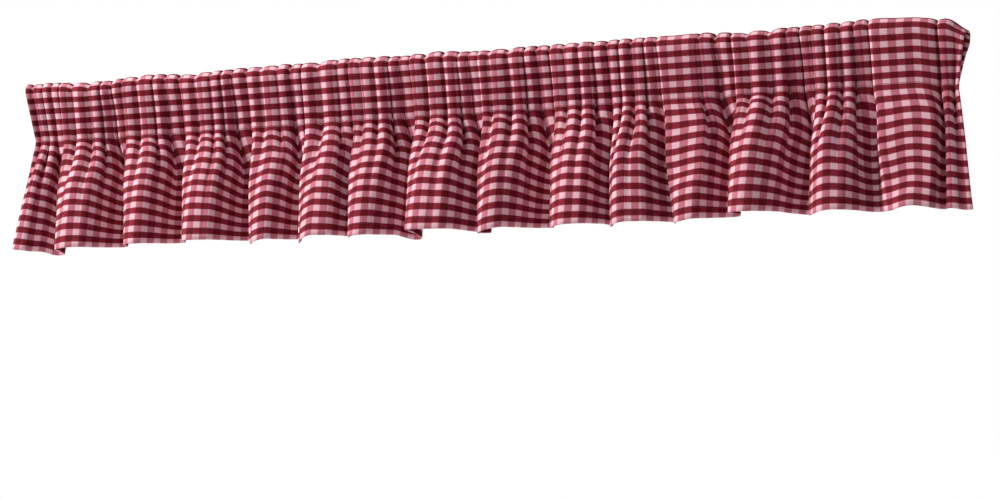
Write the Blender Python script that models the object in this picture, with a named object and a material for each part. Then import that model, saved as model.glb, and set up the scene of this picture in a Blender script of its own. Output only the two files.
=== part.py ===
"""A gathered window valance, one piece of checked cotton.

The cloth hangs as a skirt of uneven folds under a row of stitching. Above the stitching it goes up,
over the top and down the back to the same stitching, which leaves a pocket open at both ends.
X runs to the right along the valance, Z is up and -Y is the front.
"""
import math
import random
from collections import namedtuple

import bmesh
import bpy
import numpy as np

# Driving sizes, in metres
BAND = 0.068            # top edge down to the stitching
SKIRT = 0.130           # stitching down to the hem
THICKNESS = 0.0014      # the cloth with its hem
POCKET_RADIUS = 0.0125  # outer ridges of the pocket, over the top
STITCH_DEPTH = 0.006    # the two layers are sewn together over this height
END_DROOP = 0.004       # the right end of the valance hangs this much lower
END_START = 0.508       # where along X that begins
END_RUN = 0.030
MOUTH_DROOP = 0.016     # the open right end of the pocket sinks this much more at its top
MOUTH_START = 0.540
MOUTH_RUN = 0.030

# Gathering
GENTLE = math.radians(46)       # steepest turn on the long right side of a fold
FOLD_IN_BAND = 0.25             # how much of the fold's swing is left above the stitching
FOLD_GROWTH = 0.7               # the swing grows with this power of the depth
PUCKER_LENGTH = 0.026           # cloth in one small pucker
PUCKER_TURN = math.radians(80)  # steepest turn at a pucker
PUCKER_SHARPNESS = 0.90         # 0 is an even wave, near 1 wide ridges with narrow valleys
PUCKER_FADE = 0.034             # the puckers die out over this depth under the stitching
PUCKER_IN_BAND = 0.76           # puckers are pressed flatter above the stitching
PUCKER_ON_TOP = 0.38            # and flatter again over the top
PRESSED_REACH = 0.40            # share of the way round the pocket over which that fades
SLIP_RUN = 0.30                 # share over which the puckers slip, from the top down the back
HEM_SHARE = 0.65                # a fold's cloth follows its width at the hem more than at the top
SEED = 7

# Each fold begins at its front ridge. The last row is the right edge of the cloth.
# top_x, seam_x, hem_x: place of the ridge at the top edge, the stitching and the hem
# fullness: cloth in the fold for each metre of its width
# steep: sharpest turn, in degrees, where the fold comes forward to the next ridge
# forward: how far the ridge stands forward at the hem
# lift: how much higher than level the hem is at the ridge
# dip: how much lower it is in the valley behind
Fold = namedtuple("Fold", "top_x seam_x hem_x fullness steep forward lift dip")
FOLDS = [
    Fold(-0.566, -0.554, -0.5715, 1.66, 124, 0.015, 0.001, 0.004),
    Fold(-0.516, -0.516, -0.507, 1.48, 88, 0.021, 0.001, 0.000),
    Fold(-0.430, -0.430, -0.416, 1.46, 86, 0.018, 0.001, 0.000),
    Fold(-0.351, -0.351, -0.338, 1.50, 90, 0.020, 0.001, 0.000),
    Fold(-0.264, -0.264, -0.252, 1.46, 88, 0.017, 0.000, 0.002),
    Fold(-0.197, -0.197, -0.190, 1.46, 86, 0.018, 0.001, 0.001),
    Fold(-0.137, -0.137, -0.129, 1.72, 122, 0.017, 0.000, 0.002),
    Fold(-0.061, -0.061, -0.057, 1.62, 114, 0.021, 0.002, 0.001),
    Fold(0.021, 0.021, 0.029, 1.50, 88, 0.020, 0.001, 0.000),
    Fold(0.109, 0.109, 0.116, 1.48, 86, 0.020, 0.000, 0.000),
    Fold(0.176, 0.176, 0.184, 1.52, 96, 0.018, 0.000, 0.001),
    Fold(0.233, 0.233, 0.257, 1.62, 110, 0.018, 0.000, 0.001),
    Fold(0.316, 0.316, 0.317, 1.48, 86, 0.022, 0.004, 0.000),
    Fold(0.404, 0.404, 0.408, 1.38, 70, 0.020, 0.002, 0.001),
    Fold(0.468, 0.468, 0.490, 1.34, 70, 0.017, 0.000, 0.001),
    Fold(0.541, 0.541, 0.545, 1.12, 0, 0.006, -0.001, 0.000),
    Fold(0.565, 0.554, 0.568, 1.00, 0, 0.004, -0.003, 0.000),
]

# Rows of the solid: depths under the stitching, and shares of the way round the pocket
SKIRT_ROWS = (0.130, 0.100, 0.072, 0.046, 0.024, STITCH_DEPTH)
POCKET_ROWS = (0.0, 0.13, 0.27, 0.39, 0.45, 0.50, 0.55, 0.61, 0.74, 0.88)
STEPS_PER_FOLD = 240


def smooth(value):
    """A soft step from 0 to 1."""
    t = np.clip(value, 0.0, 1.0)
    return t * t * (3.0 - 2.0 * t)


def mean_rise(turn):
    """Mean of the sine of an angle that swells from 0 to turn and back."""
    swell = np.sin(np.linspace(0.0, math.pi, STEPS_PER_FOLD))
    return float(np.mean(np.sin(turn * swell)))


def cloth_lengths():
    """Length of cloth in each fold."""
    lengths = []
    for fold, following in zip(FOLDS, FOLDS[1:]):
        seam_gap = following.seam_x - fold.seam_x
        hem_gap = following.hem_x - fold.hem_x
        width = HEM_SHARE * hem_gap + (1.0 - HEM_SHARE) * seam_gap
        lengths.append(fold.fullness * width)
    return lengths


LENGTHS = cloth_lengths()


def pucker_edges():
    """For each fold, where its puckers begin and end, as shares of its cloth."""
    chance = random.Random(SEED)
    edges = []
    for length in LENGTHS:
        count = max(1, round(length / PUCKER_LENGTH))
        weights = [chance.uniform(0.7, 1.35) for _ in range(count)]
        edges.append(np.concatenate([[0.0], np.cumsum(weights) / sum(weights)]))
    return edges


EDGES = pucker_edges()


def fold_turn(fold, share):
    """Turn of the cloth across one fold: back along its gentle side, then forward along its steep one."""
    if not fold.steep:
        return GENTLE * np.sin(math.pi * 0.5 * share)
    steep = math.radians(fold.steep)
    gentle_part = mean_rise(steep) / (mean_rise(steep) + mean_rise(GENTLE))
    back = GENTLE * np.sin(math.pi * np.clip(share / gentle_part, 0.0, 1.0))
    ahead = steep * np.sin(math.pi * np.clip((share - gentle_part) / (1.0 - gentle_part), 0.0, 1.0))
    return back - ahead


def pucker_turn(index, share, around):
    """Turn of the cloth in the small puckers, which slip by half a pucker down the back."""
    edges = EDGES[index]
    phase = 2.0 * math.pi * np.interp(share, edges, np.arange(len(edges)))
    slip = math.pi * smooth((around - 0.5) / SLIP_RUN)
    sharpness = PUCKER_SHARPNESS * math.cos(slip)
    height = PUCKER_TURN * math.sqrt(1.0 - sharpness * sharpness)
    return height * np.sin(phase + slip) / (1.0 + sharpness * np.cos(phase + slip))


def strengths(depth, around):
    """How strongly folds and puckers show at a place on the cloth's length."""
    if depth > 0.0:
        folds = FOLD_IN_BAND + (1.0 - FOLD_IN_BAND) * (depth / SKIRT) ** FOLD_GROWTH
        return folds, math.exp(-depth / PUCKER_FADE)
    return FOLD_IN_BAND * math.cos(math.pi * around), 1.0


def pressed(depth, around):
    """Share of the puckers' depth that is left where the pocket presses them flat."""
    if depth > 0.0:
        return PUCKER_IN_BAND + (1.0 - PUCKER_IN_BAND) * float(smooth(depth / PUCKER_FADE))
    near_top = float(smooth(1.0 - abs(around - 0.5) / PRESSED_REACH))
    return PUCKER_IN_BAND + (PUCKER_ON_TOP - PUCKER_IN_BAND) * near_top


def ridge_place(fold, depth, around):
    """Place along X of a fold's ridge."""
    if depth > 0.0:
        lean = max(0.0, depth - STITCH_DEPTH) / (SKIRT - STITCH_DEPTH)
        return fold.seam_x + (fold.hem_x - fold.seam_x) * lean
    up = 1.0 - abs(2.0 * around - 1.0)
    return fold.seam_x + (fold.top_x - fold.seam_x) * up


def row_curve(depth, around, places):
    """Run one row of the cloth: X, distance outward and rise at each (fold, share) in places."""
    folds, puckers = strengths(depth, around)
    share = (np.arange(STEPS_PER_FOLD) + 0.5) / STEPS_PER_FOLD
    knots = np.linspace(0.0, 1.0, STEPS_PER_FOLD + 1)
    curves = []
    for index, length in enumerate(LENGTHS):
        fold = FOLDS[index]
        start = ridge_place(fold, depth, around)
        width = ridge_place(FOLDS[index + 1], depth, around) - start
        turn = folds * fold_turn(fold, share) + puckers * pucker_turn(index, share, around)
        low, high = 0.0, 2.0
        for _ in range(30):
            middle = 0.5 * (low + high)
            if length * np.mean(np.cos(middle * turn)) > width:
                low = middle
            else:
                high = middle
        step = length / STEPS_PER_FOLD
        run = np.concatenate([[0.0], np.cumsum(np.cos(low * turn))]) * step
        back = np.concatenate([[0.0], np.cumsum(np.sin(low * turn))]) * step
        run *= width / run[-1]
        if fold.steep:
            back -= back[-1] * knots
        curves.append((start + run, -back * pressed(depth, around)))
    grown = depth / SKIRT
    x, out, rise = [], [], []
    for index, part in places:
        fold, following = FOLDS[index], FOLDS[index + 1]
        x.append(np.interp(part, knots, curves[index][0]))
        forward = fold.forward + (following.forward - fold.forward) * part
        out.append(np.interp(part, knots, curves[index][1]) + forward * grown)
        lift = fold.lift + (following.lift - fold.lift) * smooth(part)
        rise.append((lift - fold.dip * math.sin(math.pi * part) ** 2) * grown)
    return np.array(x), np.array(out), np.array(rise)


def section(depth, around):
    """Point (Y, Z) and outward direction of the cloth's section where the puckers' ridges lie."""
    if depth > 0.0:
        return (0.0, -BAND - depth), (-1.0, 0.0)
    reach = BAND - POCKET_RADIUS
    tilt = math.asin(POCKET_RADIUS / reach)
    straight = reach * math.cos(tilt)
    bend = POCKET_RADIUS * (math.pi + 2.0 * tilt)
    travel = around * (2.0 * straight + bend)
    if travel < straight:
        outward = (-math.cos(tilt), -math.sin(tilt))
        return (-travel * math.sin(tilt), -BAND + travel * math.cos(tilt)), outward
    if travel > straight + bend:
        left = 2.0 * straight + bend - travel
        outward = (math.cos(tilt), -math.sin(tilt))
        return (left * math.sin(tilt), -BAND + left * math.cos(tilt)), outward
    angle = (travel - straight) / POCKET_RADIUS - tilt
    outward = (-math.cos(angle), math.sin(angle))
    return (POCKET_RADIUS * outward[0], -POCKET_RADIUS + POCKET_RADIUS * outward[1]), outward


def row_points(depth, around, places):
    """Middle of the cloth along one row, as an array of points."""
    x, out, rise = row_curve(depth, around, places)
    (y, z), (outward_y, outward_z) = section(depth, around)
    height = max(0.0, 1.0 + z / BAND)
    droop = END_DROOP * smooth((x - END_START) / END_RUN)
    droop += MOUTH_DROOP * height ** 2 * smooth((x - MOUTH_START) / MOUTH_RUN)
    return np.stack([x, y + outward_y * out, z + outward_z * out + rise - droop], axis=1)


def drape():
    """Points of the front (or outer) and back (or inner) face for each row and column."""
    places = []
    for index, edges in enumerate(EDGES):
        for left, right in zip(edges, edges[1:]):
            places.append((index, left))
            places.append((index, 0.5 * (left + right)))
    places.append((len(LENGTHS) - 1, 1.0))
    rows = [(depth, 0.0) for depth in SKIRT_ROWS]
    rows += [(0.0, around) for around in POCKET_ROWS]
    middle = np.array([row_points(depth, around, places) for depth, around in rows])
    along = np.gradient(middle, axis=1)
    up = np.gradient(middle, axis=0)
    normal = np.cross(along, up)
    normal /= np.linalg.norm(normal, axis=2, keepdims=True)
    return middle + normal * THICKNESS / 2.0, middle - normal * THICKNESS / 2.0


def cloth_material():
    material = bpy.data.materials.new("checked cotton")
    material.use_nodes = True
    shader = material.node_tree.nodes["Principled BSDF"]
    shader.inputs["Base Color"].default_value = (0.36, 0.03, 0.06, 1.0)
    shader.inputs["Roughness"].default_value = 0.9
    shader.inputs["Metallic"].default_value = 0.0
    return material


def build_valance():
    outer, inner = drape()
    row_count, column_count = outer.shape[:2]
    below_stitch = len(SKIRT_ROWS) - 1
    at_stitch = below_stitch + 1
    last = row_count - 1

    mesh = bpy.data.meshes.new("valance")
    work = bmesh.new()
    row_of = work.verts.layers.int.new("row")
    face_of = work.verts.layers.int.new("face")
    column_of = work.verts.layers.int.new("column")

    # The left end of the cloth, a strip of its thickness that closes on itself at the stitching
    edge = {}
    for row in range(row_count):
        for face, points in enumerate((outer, inner)):
            vertex = work.verts.new(points[row][0])
            vertex[row_of] = row
            vertex[face_of] = face
            edge[row, face] = vertex
    end = []
    for row in range(last):
        end.append(work.faces.new((edge[row, 0], edge[row + 1, 0], edge[row + 1, 1], edge[row, 1])))
    end.append(work.faces.new((edge[last, 0], edge[below_stitch, 1], edge[at_stitch, 1], edge[last, 1])))

    # The strip is drawn along the valance, one column of the cloth at a time
    for column in range(1, column_count):
        drawn = bmesh.ops.extrude_face_region(work, geom=end)["geom"]
        if column > 1:
            bmesh.ops.delete(work, geom=end, context="FACES")
        end = [item for item in drawn if isinstance(item, bmesh.types.BMFace)]
        for vertex in {corner for item in end for corner in item.verts}:
            vertex[column_of] = column
    for vertex in work.verts:
        points = inner if vertex[face_of] else outer
        vertex.co = points[vertex[row_of]][vertex[column_of]]

    bmesh.ops.recalc_face_normals(work, faces=work.faces)
    bmesh.ops.triangulate(work, faces=work.faces, quad_method="SHORT_EDGE")
    work.to_mesh(mesh)
    work.free()
    mesh.materials.append(cloth_material())
    valance = bpy.data.objects.new("valance", mesh)
    bpy.context.collection.objects.link(valance)
    mesh.shade_smooth()
    return valance


for old in list(bpy.data.objects):
    bpy.data.objects.remove(old, do_unlink=True)
build_valance()
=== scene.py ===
# %% [markdown]
# A gathered window valance in checked cotton, dressed over its plain solid.
# The frame holds that solid at its real size. Everything here is modelled around it, in metres,
# with +X to the right along the valance, +Z up and the front towards -Y.

# %% Load the frame
import math
import random
from collections import namedtuple

import bmesh
import bpy
import numpy as np
from mathutils import Matrix, Vector, noise


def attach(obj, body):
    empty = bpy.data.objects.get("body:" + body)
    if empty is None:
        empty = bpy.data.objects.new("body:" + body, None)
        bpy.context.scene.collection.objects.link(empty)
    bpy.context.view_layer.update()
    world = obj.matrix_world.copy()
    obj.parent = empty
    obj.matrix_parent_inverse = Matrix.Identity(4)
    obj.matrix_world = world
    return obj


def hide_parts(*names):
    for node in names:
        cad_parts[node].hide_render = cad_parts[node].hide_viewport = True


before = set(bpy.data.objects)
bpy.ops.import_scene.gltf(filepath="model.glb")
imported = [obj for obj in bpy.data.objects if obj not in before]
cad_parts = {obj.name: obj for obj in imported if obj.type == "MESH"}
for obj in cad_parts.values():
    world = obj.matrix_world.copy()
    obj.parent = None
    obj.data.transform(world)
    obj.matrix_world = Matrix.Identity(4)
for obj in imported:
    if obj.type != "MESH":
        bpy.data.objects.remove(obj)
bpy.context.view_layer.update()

# %% [markdown]
# The real valance is one panel of cotton. The top is folded over and sewn down behind, which makes
# a pocket for a slim rod, and the whole panel is pushed together along that rod. The cloth is half
# as wide again as the finished valance. These few sizes drive every shape below.

# %% The maker's sizes
BAND = 0.068            # top edge down to the stitching
SKIRT = 0.130           # stitching down to the hem
POCKET_RADIUS = 0.0125  # outer ridges of the pocket, over the top
STITCH_DEPTH = 0.006    # the two layers are sewn together over this height
CLOTH = 0.00045         # thickness of the cotton
LAYER_GAP = 0.0009      # from one layer of a turned hem to the next
HEM_TURN = 0.012        # the hem is turned up this far behind
SIDE_TURN = 0.009       # and the sides are turned in this far

END_DROOP = 0.004       # the right end of the valance hangs this much lower
END_START = 0.508       # where along X that begins
END_RUN = 0.030
MOUTH_DROOP = 0.016     # the open right end of the pocket sinks this much more at its top
MOUTH_START = 0.540
MOUTH_RUN = 0.030

# %% [markdown]
# No two folds are alike, so they are set down one by one. A row says where the front ridge of a fold
# stands at the top edge, at the stitching and at the hem, how much cloth the fold holds, how sharply
# it turns forward again, how far it stands out, and how the hem rises or dips there.

# %% The folds, from left to right
Fold = namedtuple("Fold", "top_x seam_x hem_x fullness steep forward lift dip")
FOLDS = [
    Fold(-0.567, -0.5555, -0.5745, 1.66, 124, 0.008, 0.001, 0.004),
    Fold(-0.516, -0.516, -0.507, 1.48, 88, 0.014, 0.001, 0.000),
    Fold(-0.430, -0.430, -0.416, 1.46, 86, 0.011, 0.001, 0.000),
    Fold(-0.351, -0.351, -0.338, 1.50, 90, 0.013, 0.001, 0.000),
    Fold(-0.264, -0.264, -0.252, 1.46, 88, 0.010, 0.000, 0.002),
    Fold(-0.197, -0.197, -0.190, 1.46, 86, 0.011, 0.001, 0.001),
    Fold(-0.137, -0.137, -0.129, 1.72, 122, 0.010, 0.000, 0.002),
    Fold(-0.061, -0.061, -0.057, 1.62, 114, 0.014, 0.002, 0.001),
    Fold(0.021, 0.021, 0.029, 1.50, 88, 0.013, 0.001, 0.000),
    Fold(0.109, 0.109, 0.116, 1.48, 86, 0.013, 0.000, 0.000),
    Fold(0.176, 0.176, 0.184, 1.52, 96, 0.011, 0.000, 0.001),
    Fold(0.233, 0.233, 0.257, 1.62, 110, 0.011, 0.000, 0.001),
    Fold(0.316, 0.316, 0.317, 1.48, 86, 0.015, 0.004, 0.000),
    Fold(0.404, 0.404, 0.408, 1.38, 70, 0.013, 0.002, 0.001),
    Fold(0.468, 0.468, 0.490, 1.34, 70, 0.011, 0.000, 0.001),
    Fold(0.541, 0.541, 0.545, 1.12, 0, 0.003, -0.001, 0.000),
    Fold(0.565, 0.554, 0.568, 1.00, 0, 0.004, -0.003, 0.000),
]
HEM_SHARE = 0.65                # a fold's cloth follows its width at the hem more than at the top
FOLD_IN_BAND = 0.25             # how much of the fold's swing is left above the stitching
FOLD_GROWTH = 0.75              # the swing grows with this power of the depth

PUCKER_LENGTH = 0.026           # cloth in one small pucker
PUCKER_TURN = math.radians(80)  # steepest turn at a pucker
PUCKER_SHARPNESS = 0.82         # 0 is an even wave, near 1 wide ridges with narrow valleys
PUCKER_FADE = 0.034             # the puckers die out over this depth under the stitching
PUCKER_IN_BAND = 0.98           # puckers are pressed flatter above the stitching
PUCKER_ON_TOP = 0.40            # and flatter again over the top
PRESSED_REACH = 0.40            # share of the way round the pocket over which that fades
SLIP_RUN = 0.30                 # share over which the puckers slip, from the top down the back
SEED = 7
STEPS_PER_FOLD = 240


# %% [markdown]
# Seen from below, a fold of the skirt has three parts: a broad crown that looks forward, a crease
# behind which the flank turns away from the light, and a steep return under the next fold's edge.
# The second table gives, for each fold, the angle at which the crown's left edge comes forward and
# the one at which its right edge leans back, both in degrees, the share of the width that the crown
# takes, how long the crease is, how steep the flank gets, how far left of the crown's start the
# rounded edge stands, how far the crown's left edge sags, how far the hem hangs, and how far the
# tail of the fold hangs down behind the next one.

# %% The shape of each fold
Shape = namedtuple("Shape", "lead lean crown crease flank shift droop low tail")
SHAPES = [
    Shape(38, 4, 0.52, 0.40, 40, 0.0066, 0.000, 0.0000, 0.006),
    Shape(38, 4, 0.60, 0.30, 64, 0.0066, 0.003, 0.0026, 0.000),
    Shape(40, 4, 0.50, 0.45, 64, 0.0066, 0.000, 0.0006, 0.000),
    Shape(44, 4, 0.55, 0.15, 70, 0.0066, 0.000, 0.0006, 0.000),
    Shape(44, 6, 0.56, 0.45, 66, 0.0066, 0.006, 0.0008, 0.001),
    Shape(36, 2, 0.75, 0.10, 76, 0.0066, 0.009, 0.0010, 0.000),
    Shape(44, 6, 0.54, 0.45, 46, 0.0066, 0.003, 0.0024, 0.0075),
    Shape(40, 3, 0.70, 0.15, 40, 0.0066, 0.000, 0.0026, 0.003),
    Shape(42, 5, 0.54, 0.60, 62, 0.0066, 0.006, 0.0032, 0.000),
    Shape(42, 4, 0.72, 0.25, 66, 0.0066, 0.002, 0.0034, 0.000),
    Shape(46, 3, 0.68, 0.12, 70, 0.0066, 0.005, 0.0032, 0.000),
    Shape(56, 5, 0.58, 0.35, 52, 0.0066, 0.004, 0.0042, 0.001),
    Shape(50, 5, 0.56, 0.50, 66, 0.0066, 0.000, 0.0028, 0.002),
    Shape(48, 6, 0.62, 0.30, 74, 0.0066, 0.005, 0.0034, 0.002),
    Shape(34, 7, 0.82, 0.08, 72, 0.0050, 0.004, -0.0004, 0.000),
    Shape(-4, 16, 0.60, 0.60, 16, -0.0010, 0.000, -0.0004, 0.000),
]
CROWN_FULLNESS = 1.07           # cloth in a crown, as a share of its width at the hem
CROWN_AT_SEAM = 0.55            # 0 gathers the seam evenly, 1 keeps the crown's full width there
CROWN_OPENS = 0.040             # depth over which the crown opens
CROWN_NARROWS = 0.16            # share of the width that the crown loses towards the hem
NARROWS_FROM = 0.40             # and where on the way down to the hem that begins
DROOP_REACH = 0.32              # share of a fold over which the sag of its left edge runs out
LEAD_FADE = 0.60                # share of a crown over which it turns from its lead to level
FLANK_FROM = 0.22               # share of its swing with which a flank leaves the crease
UNDERCUT = 100                  # a return steeper than this many degrees runs back under its fold


def smooth(value):
    """A soft step from 0 to 1."""
    t = np.clip(value, 0.0, 1.0)
    return t * t * (3.0 - 2.0 * t)


def cloth_lengths():
    """Length of cloth in each fold."""
    lengths = []
    for fold, following in zip(FOLDS, FOLDS[1:]):
        seam_gap = following.seam_x - fold.seam_x
        hem_gap = following.hem_x - fold.hem_x
        width = HEM_SHARE * hem_gap + (1.0 - HEM_SHARE) * seam_gap
        lengths.append(fold.fullness * width)
    return lengths


def pucker_edges():
    """For each fold, where its puckers begin and end, as shares of its cloth."""
    chance = random.Random(SEED)
    edges = []
    for length in LENGTHS:
        count = max(1, round(length / PUCKER_LENGTH))
        weights = [chance.uniform(0.7, 1.35) for _ in range(count)]
        edges.append(np.concatenate([[0.0], np.cumsum(weights) / sum(weights)]))
    return edges


LENGTHS = cloth_lengths()
EDGES = pucker_edges()
CLOTH_WIDTH = sum(LENGTHS)
print("folds:", len(LENGTHS), "puckers:", sum(len(edges) - 1 for edges in EDGES))
print("cloth width before gathering:", round(CLOTH_WIDTH, 3), "m")

# %% [markdown]
# Cloth bends but hardly stretches. So a row of the cloth is not drawn as a wave of a chosen height:
# it is walked, step by step, at an angle that swings to and fro, and the swing is made just strong
# enough for the fold's cloth to fit into its width. The depth of the fold then comes by itself.

# %% How the cloth turns along one fold
def swell(share, fullness=1.0):
    """Rises from 0 to 1 and falls back to 0; a fullness under 1 keeps it high for longer."""
    return np.sin(math.pi * np.clip(share, 0.0, 1.0)) ** fullness


def mean_rise(turn, fullness=1.0):
    """Mean of the sine of an angle that swells from 0 to turn and back."""
    return float(np.mean(np.sin(turn * swell(np.linspace(0.0, 1.0, STEPS_PER_FOLD), fullness))))


def crown_turn(shape, share):
    """Turn of the cloth across a crown, from its left edge to the crease."""
    lead = -math.radians(shape.lead) * (1.0 - smooth(share / LEAD_FADE))
    into_crease = smooth((share - 1.0 + shape.crease) / (shape.crease + 0.02))
    return lead + math.radians(shape.lean) * share + 0.5 * math.radians(shape.flank) * into_crease


def flank_turn(fold, shape, next_lead, share):
    """Turn of the cloth from the crease, down the flank and forward again to the next ridge."""
    flank = math.radians(shape.flank)
    if not fold.steep:
        return flank * np.cos(0.5 * math.pi * share)
    steep = math.radians(fold.steep)
    fullness = 0.5 if fold.steep > UNDERCUT else 1.0
    back_part = mean_rise(steep, fullness) / (mean_rise(steep, fullness) + mean_rise(flank))
    down = np.clip(share / back_part, 0.0, 1.0)
    back = flank * swell(FLANK_FROM + (1.0 - FLANK_FROM) * down) * (share < back_part)
    up = np.clip((share - back_part) / (1.0 - back_part), 0.0, 1.0)
    ahead = steep * swell(up, fullness) + math.radians(next_lead) * up ** 3
    return back - ahead


def pucker_turn(index, share, around):
    """Turn of the cloth in the small puckers, which slip by half a pucker down the back."""
    edges = EDGES[index]
    phase = 2.0 * math.pi * np.interp(share, edges, np.arange(len(edges)))
    slip = math.pi * smooth((around - 0.5) / SLIP_RUN)
    sharpness = PUCKER_SHARPNESS * math.cos(slip)
    height = PUCKER_TURN * math.sqrt(1.0 - sharpness * sharpness)
    return height * np.sin(phase + slip) / (1.0 + sharpness * np.cos(phase + slip))


def strengths(depth, around):
    """How strongly folds and puckers show at a place on the cloth's length."""
    if depth > 0.0:
        folds = FOLD_IN_BAND + (1.0 - FOLD_IN_BAND) * (depth / SKIRT) ** FOLD_GROWTH
        return folds, math.exp(-depth / PUCKER_FADE)
    return FOLD_IN_BAND * math.cos(math.pi * around), 1.0


def pressed(depth, around):
    """Share of the puckers' depth that is left where the pocket presses them flat."""
    if depth > 0.0:
        return PUCKER_IN_BAND + (1.0 - PUCKER_IN_BAND) * float(smooth(depth / PUCKER_FADE))
    near_top = float(smooth(1.0 - abs(around - 0.5) / PRESSED_REACH))
    return PUCKER_IN_BAND + (PUCKER_ON_TOP - PUCKER_IN_BAND) * near_top


def ridge_place(index, depth, around):
    """Place along X of a fold's ridge."""
    fold = FOLDS[index]
    if depth > 0.0:
        lean = max(0.0, depth - STITCH_DEPTH) / (SKIRT - STITCH_DEPTH)
        inner = 0 < index < len(SHAPES)
        shift = SHAPES[index].shift * float(smooth(lean / 0.5)) if inner else 0.0
        return fold.seam_x + (fold.hem_x - fold.seam_x) * lean - shift
    up = 1.0 - abs(2.0 * around - 1.0)
    return fold.seam_x + (fold.top_x - fold.seam_x) * up


# %% Walk one row of the cloth
STRONGEST_SWING = 2.2
HALVINGS = 30


def fit_part(turn, cloth, width):
    """Steps in X and outward along a part of a fold, with the turn scaled until the cloth fits."""
    low, high = 0.0, STRONGEST_SWING
    for _ in range(HALVINGS):
        middle = 0.5 * (low + high)
        if cloth * np.mean(np.cos(middle * turn)) > width:
            low = middle
        else:
            high = middle
    step = cloth / len(turn)
    run = np.cos(low * turn) * step
    return run * (width / run.sum()), np.sin(low * turn) * step


def walk_fold(index, depth, around):
    """X and distance outward at even steps along the cloth of one fold."""
    fold, shape = FOLDS[index], SHAPES[index]
    following = FOLDS[index + 1]
    length = LENGTHS[index]
    start = ridge_place(index, depth, around)
    width = ridge_place(index + 1, depth, around) - start
    hem_width = following.hem_x - fold.hem_x
    crown_cloth = shape.crown * hem_width * CROWN_FULLNESS / length
    crown_at_seam = crown_cloth + (shape.crown - crown_cloth) * CROWN_AT_SEAM
    opened = float(smooth(depth / CROWN_OPENS))
    crown_below = shape.crown - CROWN_NARROWS * max(0.0, depth / SKIRT - NARROWS_FROM)
    crown_width = crown_at_seam + (crown_below - crown_at_seam) * opened
    crown_steps = round(crown_cloth * STEPS_PER_FOLD)

    share = (np.arange(STEPS_PER_FOLD) + 0.5) / STEPS_PER_FOLD
    folds, puckers = strengths(depth, around)
    crown = crown_turn(shape, share[:crown_steps] / crown_cloth)
    next_lead = SHAPES[min(index + 1, len(SHAPES) - 1)].lead
    past_crown = (share[crown_steps:] - crown_cloth) / (1.0 - crown_cloth)
    flank = flank_turn(fold, shape, next_lead, past_crown)
    turn = folds * np.concatenate([crown, flank]) + puckers * pucker_turn(index, share, around)
    parts = [fit_part(turn[:crown_steps], length * crown_cloth, width * crown_width),
             fit_part(turn[crown_steps:], length * (1.0 - crown_cloth), width * (1.0 - crown_width))]
    run = np.concatenate([[0.0], np.cumsum(np.concatenate([part[0] for part in parts]))])
    back = np.concatenate([[0.0], np.cumsum(np.concatenate([part[1] for part in parts]))])
    if fold.steep:
        back -= back[-1] * np.linspace(0.0, 1.0, STEPS_PER_FOLD + 1)
    return start + run, -back * pressed(depth, around)


LOW_PLACES = np.arange(len(SHAPES)) + 0.5


def walk_row(depth, around, shares):
    """X, distance outward and rise for a row, at the given shares of each fold's cloth."""
    knots = np.linspace(0.0, 1.0, STEPS_PER_FOLD + 1)
    grown = depth / SKIRT
    x, out, rise = [], [], []
    for index, part in enumerate(shares):
        fold, following = FOLDS[index], FOLDS[index + 1]
        fold_x, fold_out = walk_fold(index, depth, around)
        x.append(np.interp(part, knots, fold_x))
        forward = fold.forward + (following.forward - fold.forward) * part
        out.append(np.interp(part, knots, fold_out) + forward * grown)
        lift = fold.lift + (following.lift - fold.lift) * smooth(part)
        left_sag = SHAPES[index].droop * (1.0 - smooth(part / DROOP_REACH))
        next_droop = SHAPES[index + 1].droop if index + 1 < len(SHAPES) else 0.0
        right_sag = next_droop * smooth((part - 1.0) / DROOP_REACH + 1.0)
        low = np.interp(index + part, LOW_PLACES, [shape.low for shape in SHAPES])
        tail = SHAPES[index].tail * np.sin(math.pi * np.clip(2.0 * part - 1.0, 0.0, 1.0)) ** 2
        sag = (left_sag + right_sag) * smooth(2.0 * grown) + (low + tail) * grown
        rise.append((lift - fold.dip * np.sin(math.pi * part) ** 2) * grown - sag)
    return np.concatenate(x), np.concatenate(out), np.concatenate(rise)


# %% [markdown]
# Seen from its end the pocket is a drop: round over the top, then two straight layers that run
# together at the stitching. A place on the cloth's length is either a depth under the stitching or
# a share of the way round this drop, from the front stitching over the top to the back. The back
# layer ends in a turned edge that peeps out a few millimetres under the stitching.

# %% The pocket's section
POCKET_REACH = BAND - POCKET_RADIUS
POCKET_TILT = math.asin(POCKET_RADIUS / POCKET_REACH)
POCKET_STRAIGHT = POCKET_REACH * math.cos(POCKET_TILT)
POCKET_BEND = POCKET_RADIUS * (math.pi + 2.0 * POCKET_TILT)
POCKET_WAY = 2.0 * POCKET_STRAIGHT + POCKET_BEND
POCKET_LEVELS = 0.025   # close to the stitching the puckers stand out level


def section(depth, around):
    """Point (Y, Z) and outward direction where the puckers' ridges lie."""
    if depth > 0.0:
        return (0.0, -BAND - depth), (-1.0, 0.0)
    sine, cosine = math.sin(POCKET_TILT), math.cos(POCKET_TILT)
    travel = around * POCKET_WAY
    if travel < POCKET_STRAIGHT:
        level = float(smooth(travel / POCKET_LEVELS))
        return (-travel * sine, -BAND + travel * cosine), (-cosine, -sine * level)
    if travel > POCKET_STRAIGHT + POCKET_BEND:
        left = POCKET_WAY - travel
        level = float(smooth(left / POCKET_LEVELS))
        return (left * sine, -BAND + left * cosine), (cosine, -sine * level)
    angle = (travel - POCKET_STRAIGHT) / POCKET_RADIUS - POCKET_TILT
    outward = (-math.cos(angle), math.sin(angle))
    return (POCKET_RADIUS * outward[0], -POCKET_RADIUS + POCKET_RADIUS * outward[1]), outward


print("cloth round the pocket:", round(POCKET_WAY, 3), "m")

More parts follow.
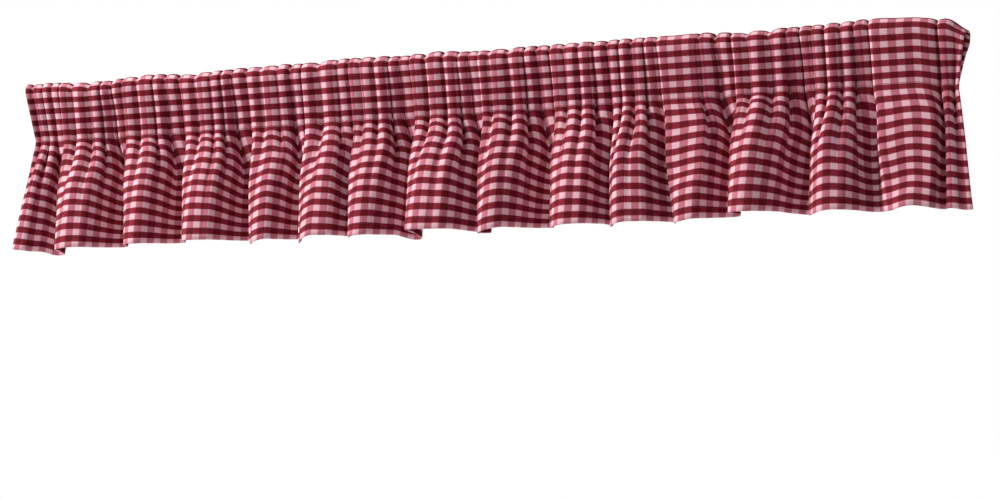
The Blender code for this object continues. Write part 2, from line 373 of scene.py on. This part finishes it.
# %% [markdown]
# The grid of the cloth is close where it bends sharply and open elsewhere. Columns crowd into the
# narrow valley of each pucker, and rows crowd under the stitching, over the top and at the hem.

# %% Rows and columns of the cloth
COLUMNS_PER_PUCKER = 12
VALLEY_CROWDING = 0.55
HEM_DEPTHS = (SKIRT, SKIRT - 0.0006, SKIRT - 0.004, SKIRT - 0.008, SKIRT - HEM_TURN)
SKIRT_ROWS = 20
SEAM_CROWDING = 1.5
BAND_SHARES = (0.0, 0.03, 0.07, 0.12, 0.18, 0.24, 0.30, 0.34, 0.38, 0.41, 0.44, 0.47, 0.50,
               0.53, 0.56, 0.59, 0.63, 0.68, 0.74, 0.80, 0.86, 0.92, 0.96, 1.0)
SIDE_PLACES = (0.0, 0.0006, 0.003, 0.006, SIDE_TURN)    # columns of a turned side
CLEAR_OF_FIRST = 0.01   # share of the first fold left free of columns beside its turned side
CLEAR_OF_LAST = 0.02    # and the same for the last fold

Row = namedtuple("Row", "depth around behind")
BEHIND = 0.0019         # at the stitching the back layer lies this far behind the front one
BEHIND_RUN = 0.30       # share of the way round over which it comes to lie there
FLAP_DEPTHS = (0.0012, 0.0032)  # and it ends just under the stitching


def column_shares():
    """Shares of each fold's cloth at which its columns stand."""
    shares = []
    even = np.arange(COLUMNS_PER_PUCKER) / COLUMNS_PER_PUCKER
    crowded = even + VALLEY_CROWDING / (2.0 * math.pi) * np.sin(2.0 * math.pi * even)
    for edges in EDGES:
        starts, widths = edges[:-1], np.diff(edges)
        shares.append((starts[:, None] + widths[:, None] * crowded[None, :]).ravel())
    turn = np.array(SIDE_PLACES)
    first = turn / LENGTHS[0]
    shares[0] = np.concatenate([first, shares[0][shares[0] > first[-1] + CLEAR_OF_FIRST]])
    last = 1.0 - turn[::-1] / LENGTHS[-1]
    shares[-1] = np.concatenate([shares[-1][shares[-1] < last[0] - CLEAR_OF_LAST], last])
    return shares


def row_places():
    """Place of each row, from the hem up, over the pocket and down behind to the turned edge."""
    fractions = np.linspace(1.0, 0.0, SKIRT_ROWS + 1) ** SEAM_CROWDING
    top_of_hem = HEM_DEPTHS[-1]
    depths = list(HEM_DEPTHS) + [top_of_hem * fraction for fraction in fractions[1:-1]]
    front = [Row(depth, 0.0, 0.0) for depth in depths]
    pocket = [Row(0.0, around, BEHIND * float(smooth(1.0 - (1.0 - around) / BEHIND_RUN)))
              for around in BAND_SHARES]
    flap = [Row(depth, 0.0, BEHIND) for depth in FLAP_DEPTHS]
    return front + pocket + flap


def height_on_cloth(row):
    """Distance of a row from the hem, along the flat cloth."""
    if row.behind and row.depth:
        return SKIRT + POCKET_WAY + row.depth
    return SKIRT - row.depth + POCKET_WAY * row.around


SHARES = column_shares()
ROWS = row_places()
FOLD_STARTS = np.concatenate([[0.0], np.cumsum(LENGTHS)])
ALONG = np.concatenate([FOLD_STARTS[i] + LENGTHS[i] * part for i, part in enumerate(SHARES)])
UP = np.array([height_on_cloth(row) for row in ROWS])
print("columns:", len(ALONG), "rows:", len(ROWS))

# %% [markdown]
# Just under the stitching the cloth springs forward. Its length is the same everywhere, so where it
# slants forward it uses up length and the checks ride higher. That is why their rows zigzag there,
# and arch over every crown further down. A short table says how much of a place's distance forward
# turns into height at each depth. It runs out towards the hem, which was cut straight.
# The top edge is not quite level either, and the last table says how far it sags along the valance.

# %% Drape the whole cloth
RIDE_DEPTHS = (0.0, 0.008, 0.018, 0.035, 0.060, 0.095, 0.130)
RIDE_SHARES = (0.0, 0.34, 0.64, 0.52, 0.37, 0.20, -0.09)
CREASE_DEPTH = 0.0011   # soft creases left from folding and handling
CREASE_SCALE = Vector((26.0, 11.0, 0.0))
FINER_ACROSS = 2.3      # a second, finer set of creases is closer by these two factors
FINER_DOWN = 2.9
FINER_DEPTH = 0.45      # and shallower by this one
COLUMN_ENDS = np.cumsum([0] + [len(part) for part in SHARES])

Sag = namedtuple("Sag", "x down")
TOP_SAGS = [
    Sag(-0.530, 0.0000), Sag(-0.485, 0.0038), Sag(-0.450, 0.0024), Sag(-0.420, -0.0006),
    Sag(-0.385, -0.0002), Sag(-0.353, 0.0020), Sag(-0.320, 0.0022), Sag(-0.290, 0.0000),
    Sag(-0.200, -0.0005), Sag(-0.165, -0.0020), Sag(-0.137, -0.0024), Sag(-0.100, -0.0004),
    Sag(-0.030, -0.0012), Sag(-0.005, 0.0008), Sag(0.030, 0.0010), Sag(0.080, 0.0002),
    Sag(0.280, 0.0002), Sag(0.316, 0.0028), Sag(0.345, 0.0024), Sag(0.400, 0.0009),
    Sag(0.430, 0.0000), Sag(0.455, -0.0012), Sag(0.490, 0.0000),
]
END_BACK = 0.0050       # the right end of the pocket bends back by this much
END_BACK_START = 0.490
END_BACK_RUN = 0.075


def ride_up(depth, out):
    """How much higher than its level each point of a row rides."""
    ride = np.zeros_like(out)
    for first, last in zip(COLUMN_ENDS, COLUMN_ENDS[1:]):
        ride[first:last] = out[first:last].mean()
    ride = np.interp(np.arange(len(out)), 0.5 * (COLUMN_ENDS[1:] + COLUMN_ENDS[:-1]),
                     ride[COLUMN_ENDS[:-1]])
    return (out - ride) * np.interp(depth, RIDE_DEPTHS, RIDE_SHARES)


def creases(along, up):
    """Small uneven creases, as a distance outward."""
    across, down = along * CREASE_SCALE.x, up * CREASE_SCALE.y
    broad = noise.noise(Vector((across, down, 3.7)))
    fine = noise.noise(Vector((across * FINER_ACROSS, down * FINER_DOWN, 9.1)))
    return CREASE_DEPTH * (broad + FINER_DEPTH * fine)


def drape():
    """Middle of the cloth, and its normal, for each row and column."""
    walked = [walk_row(row.depth, row.around, SHARES) for row in ROWS]
    x = np.array([row[0] for row in walked])
    out = np.array([row[1] for row in walked])
    rise = np.array([row[2] for row in walked])
    sag_places = [sag.x for sag in TOP_SAGS]
    sags = [sag.down for sag in TOP_SAGS]
    points = np.zeros(x.shape + (3,))
    for index, row in enumerate(ROWS):
        (y, z), (outward_y, outward_z) = section(row.depth, row.around)
        rise[index] += ride_up(row.depth, out[index])
        fine = np.array([creases(along, UP[index]) for along in ALONG])
        height = max(0.0, 1.0 + z / BAND)
        over_hem = max(0.0, 1.0 + z / (BAND + SKIRT))
        droop = END_DROOP * smooth((x[index] - END_START) / END_RUN)
        droop += MOUTH_DROOP * height ** 2 * smooth((x[index] - MOUTH_START) / MOUTH_RUN)
        droop += height ** 2 * np.interp(x[index], sag_places, sags)
        bend = END_BACK * smooth((x[index] - END_BACK_START) / END_BACK_RUN)
        away = out[index] + fine
        points[index, :, 0] = x[index]
        points[index, :, 1] = y + outward_y * away + row.behind + over_hem * bend
        points[index, :, 2] = z + outward_z * away + rise[index] - droop
    across = np.gradient(points, axis=1)
    upward = np.gradient(points, axis=0)
    normal = np.cross(across, upward)
    normal /= np.linalg.norm(normal, axis=2, keepdims=True)
    return points, normal


POINTS, NORMALS = drape()
print("draped:", POINTS.shape, "front", round(float(POINTS[..., 1].min()), 4),
      "back", round(float(POINTS[..., 1].max()), 4))

# %% [markdown]
# The hem and the sides are turned behind. In the grid they are the same rows and columns once more,
# in the opposite order and one layer further back, with an edge between them. A grid operator makes
# the faces, every vertex is moved to its place, and each corner gets its place on the flat cloth as
# its UV, in metres, so the checks follow the gathers as they do on the real thing.

# %% Make the cloth
def turned(count, turn_rows, at_end):
    """Order and layer of the rows or columns, with a turned edge at the start and maybe at the end."""
    order = list(range(turn_rows, 0, -1)) + list(range(count))
    layer = [1.0] * turn_rows + [0.5] + [0.0] * (count - 1)
    if at_end:
        order += list(range(count - 2, count - 2 - turn_rows, -1))
        layer[-1] = 0.5
        layer += [1.0] * turn_rows
    return np.array(order), np.array(layer)


def flat_place(values, order, turn_rows, at_end):
    """Coordinate on the flat cloth of each row or column, running on into the turned edges."""
    flat = values[order].copy()
    flat[:turn_rows] = 2.0 * values[0] - flat[:turn_rows]
    if at_end:
        flat[-turn_rows:] = 2.0 * values[-1] - flat[-turn_rows:]
    return flat


def finish_piece(name, mesh, material, solid):
    """Put a mesh into the scene as a piece of the valance."""
    piece = bpy.data.objects.new(name, mesh)
    bpy.context.collection.objects.link(piece)
    mesh.materials.append(material)
    mesh.shade_smooth()
    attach(piece, "root")
    if solid:
        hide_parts(solid)
    return piece


def make_cloth(material):
    """The whole valance as one sheet with its turned hem, sides and pocket."""
    turn_rows = len(HEM_DEPTHS) - 1
    row_order, row_layer = turned(len(ROWS), turn_rows, False)
    column_order, column_layer = turned(len(ALONG), turn_rows, True)
    across = flat_place(ALONG, column_order, turn_rows, True)
    upward = flat_place(UP, row_order, turn_rows, False)

    work = bmesh.new()
    columns, rows = len(column_order), len(row_order)
    bmesh.ops.create_grid(work, x_segments=columns - 1, y_segments=rows - 1, size=0.5)
    uv = work.loops.layers.uv.new("cloth")
    place = {}
    for vertex in work.verts:
        column = round((vertex.co.x + 0.5) * (columns - 1))
        row = round((vertex.co.y + 0.5) * (rows - 1))
        place[vertex] = (column, row)
    for vertex, (column, row) in place.items():
        here = row_order[row], column_order[column]
        behind = LAYER_GAP * (row_layer[row] + column_layer[column])
        vertex.co = Vector(POINTS[here]) - Vector(NORMALS[here]) * behind
    for face in work.faces:
        for loop in face.loops:
            column, row = place[loop.vert]
            loop[uv].uv = (across[column], upward[row])
    mesh = bpy.data.meshes.new("cloth")
    work.to_mesh(mesh)
    work.free()
    cloth = finish_piece("cloth", mesh, material, "valance")
    thicken = cloth.modifiers.new("thickness", "SOLIDIFY")
    thicken.thickness = CLOTH
    thicken.offset = 0.0
    print("cloth:", len(mesh.vertices), "points", len(mesh.polygons), "faces")
    return cloth


# %% [markdown]
# Gingham is woven from stripes of white and red yarn in both directions. Where white crosses white
# the square is white, where red crosses red it is deep red, and elsewhere the two yarns mix. The
# weft lies more on top, so the mixed squares are paler in a white row than in a red one. One node
# group makes the check from the flat cloth's place, then the single threads over it, and puts out
# a colour and a height. The material feeds these to its own shader.

# %% The gingham node group
CHECK_ACROSS = 0.0158   # one white and one red stripe, along the valance
CHECK_DOWN = 0.0129     # and down it
CHECK_SHIFT = Vector((0.0040, 0.0106, 0.0))     # where the first repeat begins
THREAD = 0.00045        # from one thread to the next
WHITE_ALONG = 0.47      # share of a repeat that is white, along the valance
WHITE_DOWN = 0.48       # and down it
STRIPE_SOFTNESS = 0.045     # share of a repeat over which one colour runs into the other


def wire(group, kind, inputs=(), **settings):
    """Add a node, set it up and connect or fill its inputs in order."""
    node = group.nodes.new(kind)
    for name, value in settings.items():
        setattr(node, name, value)
    for index, value in enumerate(inputs):
        if value is None:
            continue
        if isinstance(value, bpy.types.NodeSocket):
            group.links.new(value, node.inputs[index])
        else:
            node.inputs[index].default_value = value
    return node


def maths(group, operation, *inputs):
    """Output of a Math node."""
    return wire(group, "ShaderNodeMath", inputs, operation=operation).outputs[0]


def stripes(group, coordinate, period, shift, white_share):
    """1 on a white stripe and 0 on a red one."""
    turns = maths(group, "DIVIDE", maths(group, "ADD", coordinate, shift), period)
    wave = maths(group, "PINGPONG", turns, 0.5)
    ramp = wire(group, "ShaderNodeMapRange", (wave,), interpolation_type="SMOOTHSTEP")
    edge = 0.5 * white_share
    ramp.inputs["From Min"].default_value = edge - STRIPE_SOFTNESS
    ramp.inputs["From Max"].default_value = edge + STRIPE_SOFTNESS
    ramp.inputs["To Min"].default_value = 1.0
    ramp.inputs["To Max"].default_value = 0.0
    return ramp.outputs[0]


def gingham_group():
    """The node group that makes the check and its threads from the flat cloth's place."""
    group = bpy.data.node_groups.new("gingham", "ShaderNodeTree")
    face = group.interface
    face.new_socket("Flat cloth", in_out="INPUT", socket_type="NodeSocketVector")
    for name in ("White", "White weft", "Red weft", "Red"):
        face.new_socket(name, in_out="INPUT", socket_type="NodeSocketColor")
    face.new_socket("Thread contrast", in_out="INPUT", socket_type="NodeSocketFloat")
    face.new_socket("Color", in_out="OUTPUT", socket_type="NodeSocketColor")
    face.new_socket("Height", in_out="OUTPUT", socket_type="NodeSocketFloat")
    entry = group.nodes.new("NodeGroupInput")
    flat = wire(group, "ShaderNodeSeparateXYZ", (entry.outputs["Flat cloth"],))
    along, up = flat.outputs[0], flat.outputs[1]

    warp = stripes(group, along, CHECK_ACROSS, CHECK_SHIFT.x, WHITE_ALONG)
    weft = stripes(group, up, CHECK_DOWN, CHECK_SHIFT.y, WHITE_DOWN)

    # Which of the two threads lies on top, in a plain weave
    ways = []
    for coordinate in (along, up):
        turns = maths(group, "MULTIPLY", coordinate, math.pi / THREAD)
        ways.append(maths(group, "SINE", turns))
    crossing = maths(group, "MULTIPLY", ways[0], ways[1])
    on_top = wire(group, "ShaderNodeMapRange", (crossing, -0.35, 0.35, 0.0, 1.0)).outputs[0]

    shown = maths(group, "ADD", maths(group, "MULTIPLY", on_top, warp),
                  maths(group, "MULTIPLY", maths(group, "SUBTRACT", 1.0, on_top), weft))

    def blend(factor, first, second):
        node = wire(group, "ShaderNodeMix", data_type="RGBA")
        sockets = (node.inputs[0], node.inputs[6], node.inputs[7])
        for socket, value in zip(sockets, (factor, first, second)):
            if isinstance(value, bpy.types.NodeSocket):
                group.links.new(value, socket)
            else:
                socket.default_value = value
        return node.outputs[2]

    pale_row = blend(warp, entry.outputs["White weft"], entry.outputs["White"])
    dark_row = blend(warp, entry.outputs["Red"], entry.outputs["Red weft"])
    even = blend(weft, dark_row, pale_row)
    threads = blend(shown, entry.outputs["Red"], entry.outputs["White"])
    colour = blend(entry.outputs["Thread contrast"], even, threads)

    # Slubs: threads are a little thicker here and thinner there
    stretched = wire(group, "ShaderNodeVectorMath", (entry.outputs["Flat cloth"], (900.0, 60.0, 1.0)),
                     operation="MULTIPLY").outputs[0]
    slub = wire(group, "ShaderNodeTexNoise", (stretched,)).outputs["Fac"]
    shade = wire(group, "ShaderNodeMapRange", (slub, 0.3, 0.7, 0.93, 1.05)).outputs[0]
    lit = wire(group, "ShaderNodeVectorMath", operation="SCALE")
    group.links.new(colour, lit.inputs[0])
    group.links.new(shade, lit.inputs["Scale"])

    leave = group.nodes.new("NodeGroupOutput")
    group.links.new(lit.outputs[0], leave.inputs["Color"])
    raised = maths(group, "ABSOLUTE", crossing)
    height = maths(group, "ADD", raised, maths(group, "MULTIPLY", slub, 0.5))
    group.links.new(height, leave.inputs["Height"])
    return group


# %% The cotton material
WHITE_SQUARE = (0.86, 0.50, 0.56, 1.0)
WHITE_WEFT_SQUARE = (0.55, 0.155, 0.205, 1.0)
RED_WEFT_SQUARE = (0.25, 0.007, 0.026, 1.0)
RED_SQUARE = (0.135, 0.0014, 0.0090, 1.0)
THREAD_CONTRAST = 0.03  # how much the single threads show over the even squares
THREAD_RELIEF = 0.00012


def cotton_material():
    """Matt cotton with the check and a faint relief of threads."""
    material = bpy.data.materials.new("gingham cotton")
    material.use_nodes = True
    tree = material.node_tree
    shader = tree.nodes["Principled BSDF"]
    shader.inputs["Roughness"].default_value = 0.88
    shader.inputs["Specular IOR Level"].default_value = 0.15
    shader.inputs["Sheen Weight"].default_value = 0.03
    shader.inputs["Sheen Roughness"].default_value = 0.6
    flat = wire(tree, "ShaderNodeUVMap", uv_map="cloth")
    check = wire(tree, "ShaderNodeGroup", node_tree=gingham_group())
    tree.links.new(flat.outputs["UV"], check.inputs["Flat cloth"])
    check.inputs["White"].default_value = WHITE_SQUARE
    check.inputs["White weft"].default_value = WHITE_WEFT_SQUARE
    check.inputs["Red weft"].default_value = RED_WEFT_SQUARE
    check.inputs["Red"].default_value = RED_SQUARE
    check.inputs["Thread contrast"].default_value = THREAD_CONTRAST
    bump = tree.nodes.new("ShaderNodeBump")
    bump.inputs["Strength"].default_value = 0.35
    bump.inputs["Distance"].default_value = THREAD_RELIEF
    tree.links.new(check.outputs["Color"], shader.inputs["Base Color"])
    tree.links.new(check.outputs["Height"], bump.inputs["Height"])
    tree.links.new(bump.outputs["Normal"], shader.inputs["Normal"])
    return material


cotton = cotton_material()
cloth = make_cloth(cotton)

# %% [markdown]
# Two lines of machine stitching hold the valance: one through both layers under the pocket, one
# along the top of the hem. Each stitch is a short length of thread lying on the cloth. Its place and
# direction come from the draped cloth itself, so the stitching follows every pucker.

# %% The stitching
STITCH_PITCH = 0.0030
STITCH_LENGTH = 0.0021
THREAD_THICKNESS = 0.0004
THREAD_RED = (0.20, 0.006, 0.018, 1.0)
SEAM_DEPTH = 0.0008     # depth of the pocket's stitching
HEM_LINE = SKIRT - HEM_TURN + 0.0015    # depth of the hem's, just inside the turned edge


def on_cloth(depth, along):
    """Middle of the cloth and its normal, at places along one height."""
    up = SKIRT - depth
    row = int(np.searchsorted(UP, up)) - 1
    part = (up - UP[row]) / (UP[row + 1] - UP[row])
    points = POINTS[row] * (1.0 - part) + POINTS[row + 1] * part
    normals = NORMALS[row] * (1.0 - part) + NORMALS[row + 1] * part
    places = np.array([np.interp(along, ALONG, points[:, axis]) for axis in range(3)]).T
    facing = np.array([np.interp(along, ALONG, normals[:, axis]) for axis in range(3)]).T
    return places, facing


def make_stitching(material):
    """Both lines of stitches as one piece."""
    work = bmesh.new()
    count = int((CLOTH_WIDTH - 2.0 * SIDE_TURN) / STITCH_PITCH)
    middle = SIDE_TURN + STITCH_PITCH * (np.arange(count) + 0.5)
    for depth in (SEAM_DEPTH, HEM_LINE):
        starts, facing = on_cloth(depth, middle - STITCH_LENGTH / 2.0)
        ends, _ = on_cloth(depth, middle + STITCH_LENGTH / 2.0)
        for start, end, outward in zip(starts, ends, facing):
            forward = Vector(end - start)
            length = forward.length
            forward.normalize()
            outward = (Vector(outward) - forward * forward.dot(Vector(outward))).normalized()
            turn = Matrix((forward, outward.cross(forward), outward)).transposed().to_4x4()
            centre = Vector(0.5 * (start + end)) + outward * 0.5 * (CLOTH + 0.5 * THREAD_THICKNESS)
            size = Matrix.Diagonal((length, THREAD_THICKNESS, THREAD_THICKNESS, 1.0))
            bmesh.ops.create_cube(work, size=1.0, matrix=Matrix.Translation(centre) @ turn @ size)
    mesh = bpy.data.meshes.new("stitching")
    work.to_mesh(mesh)
    work.free()
    print("stitches:", 2 * count)
    return finish_piece("stitching", mesh, material, None)


thread = bpy.data.materials.new("sewing thread")
thread.use_nodes = True
thread.node_tree.nodes["Principled BSDF"].inputs["Base Color"].default_value = THREAD_RED
thread.node_tree.nodes["Principled BSDF"].inputs["Roughness"].default_value = 0.7
stitching = make_stitching(thread)

# %% [markdown]
# The flat cloth is the draped one laid out: its width is the folds' cloth and both side hems, and its
# length is the hem, the skirt, the way round the pocket and the turned edge behind the stitching.

# %% [markdown]
# The camera stands low and to the right of the valance, as in the photograph, with a long lens. The
# picture leans by a degree. Light is soft and comes from the upper left in front, so the left side
# of each fold is bright and its long right side falls into shade.

# %% Camera
CAMERA_AT = Vector((1.346, -2.925, -0.693))
LOOK_LEFT = math.radians(24.0)
LOOK_UP = math.radians(8.34)
LEAN = math.radians(0.985)
LENS = 107.3
SENSOR = 36.0


def make_camera():
    """The camera, level but for a slight lean of the picture."""
    data = bpy.data.cameras.new("camera")
    data.sensor_width = SENSOR
    data.lens = LENS
    camera = bpy.data.objects.new("camera", data)
    turn = Matrix.Rotation(LOOK_LEFT, 4, "Z") @ Matrix.Rotation(math.pi / 2 + LOOK_UP, 4, "X")
    camera.matrix_world = Matrix.Translation(CAMERA_AT) @ turn @ Matrix.Rotation(LEAN, 4, "Z")
    bpy.context.collection.objects.link(camera)
    bpy.context.scene.camera = camera
    return camera


camera = make_camera()

# %% Lights, floor and backdrop
FLOOR_Z = -1.25
FLOOR_SIDE = 14.0
BACKDROP_AWAY = 18.0    # from the camera, far behind the valance
BACKDROP_SIDE = 7.0
VALANCE_MIDDLE = Vector((0.0, 0.0, -0.1))
KEY_PLACE = (-2.52, -1.29, 2.36)
KEY_SIZE = 1.0
KEY_POWER = 212.0
FILL_STRENGTH = 0.25    # even light from all round


def soft_light(name, place, size, power):
    """A round area light that looks at the valance."""
    data = bpy.data.lights.new(name, "AREA")
    data.shape = "DISK"
    data.size = size
    data.energy = power
    light = bpy.data.objects.new(name, data)
    aim = (VALANCE_MIDDLE - Vector(place)).to_track_quat("-Z", "Y")
    light.matrix_world = Matrix.Translation(place) @ aim.to_matrix().to_4x4()
    bpy.context.collection.objects.link(light)


def stage_sheet(name, side, matrix):
    """A flat square of the stage. Hands back its shader."""
    work = bmesh.new()
    bmesh.ops.create_grid(work, x_segments=1, y_segments=1, size=side / 2.0)
    mesh = bpy.data.meshes.new(name)
    work.to_mesh(mesh)
    work.free()
    sheet = bpy.data.objects.new(name, mesh)
    sheet.matrix_world = matrix
    bpy.context.collection.objects.link(sheet)
    material = bpy.data.materials.new(name)
    material.use_nodes = True
    mesh.materials.append(material)
    return material.node_tree.nodes["Principled BSDF"]


floor = stage_sheet("floor", FLOOR_SIDE, Matrix.Translation((0.0, 0.0, FLOOR_Z)))
floor.inputs["Base Color"].default_value = (0.86, 0.86, 0.86, 1.0)
floor.inputs["Roughness"].default_value = 0.9
away = camera.matrix_world @ Matrix.Translation((0.0, 0.0, -BACKDROP_AWAY))
backdrop = stage_sheet("backdrop", BACKDROP_SIDE, away)
backdrop.inputs["Base Color"].default_value = (0.0, 0.0, 0.0, 1.0)
backdrop.inputs["Specular IOR Level"].default_value = 0.0
backdrop.inputs["Emission Color"].default_value = (1.0, 1.0, 1.0, 1.0)
backdrop.inputs["Emission Strength"].default_value = 1.0

soft_light("key", KEY_PLACE, KEY_SIZE, KEY_POWER)
world = bpy.data.worlds.new("studio")
world.use_nodes = True
world.node_tree.nodes["Background"].inputs["Color"].default_value = (1.0, 1.0, 1.0, 1.0)
world.node_tree.nodes["Background"].inputs["Strength"].default_value = FILL_STRENGTH
bpy.context.scene.world = world
bpy.context.scene.view_settings.view_transform = "Standard"
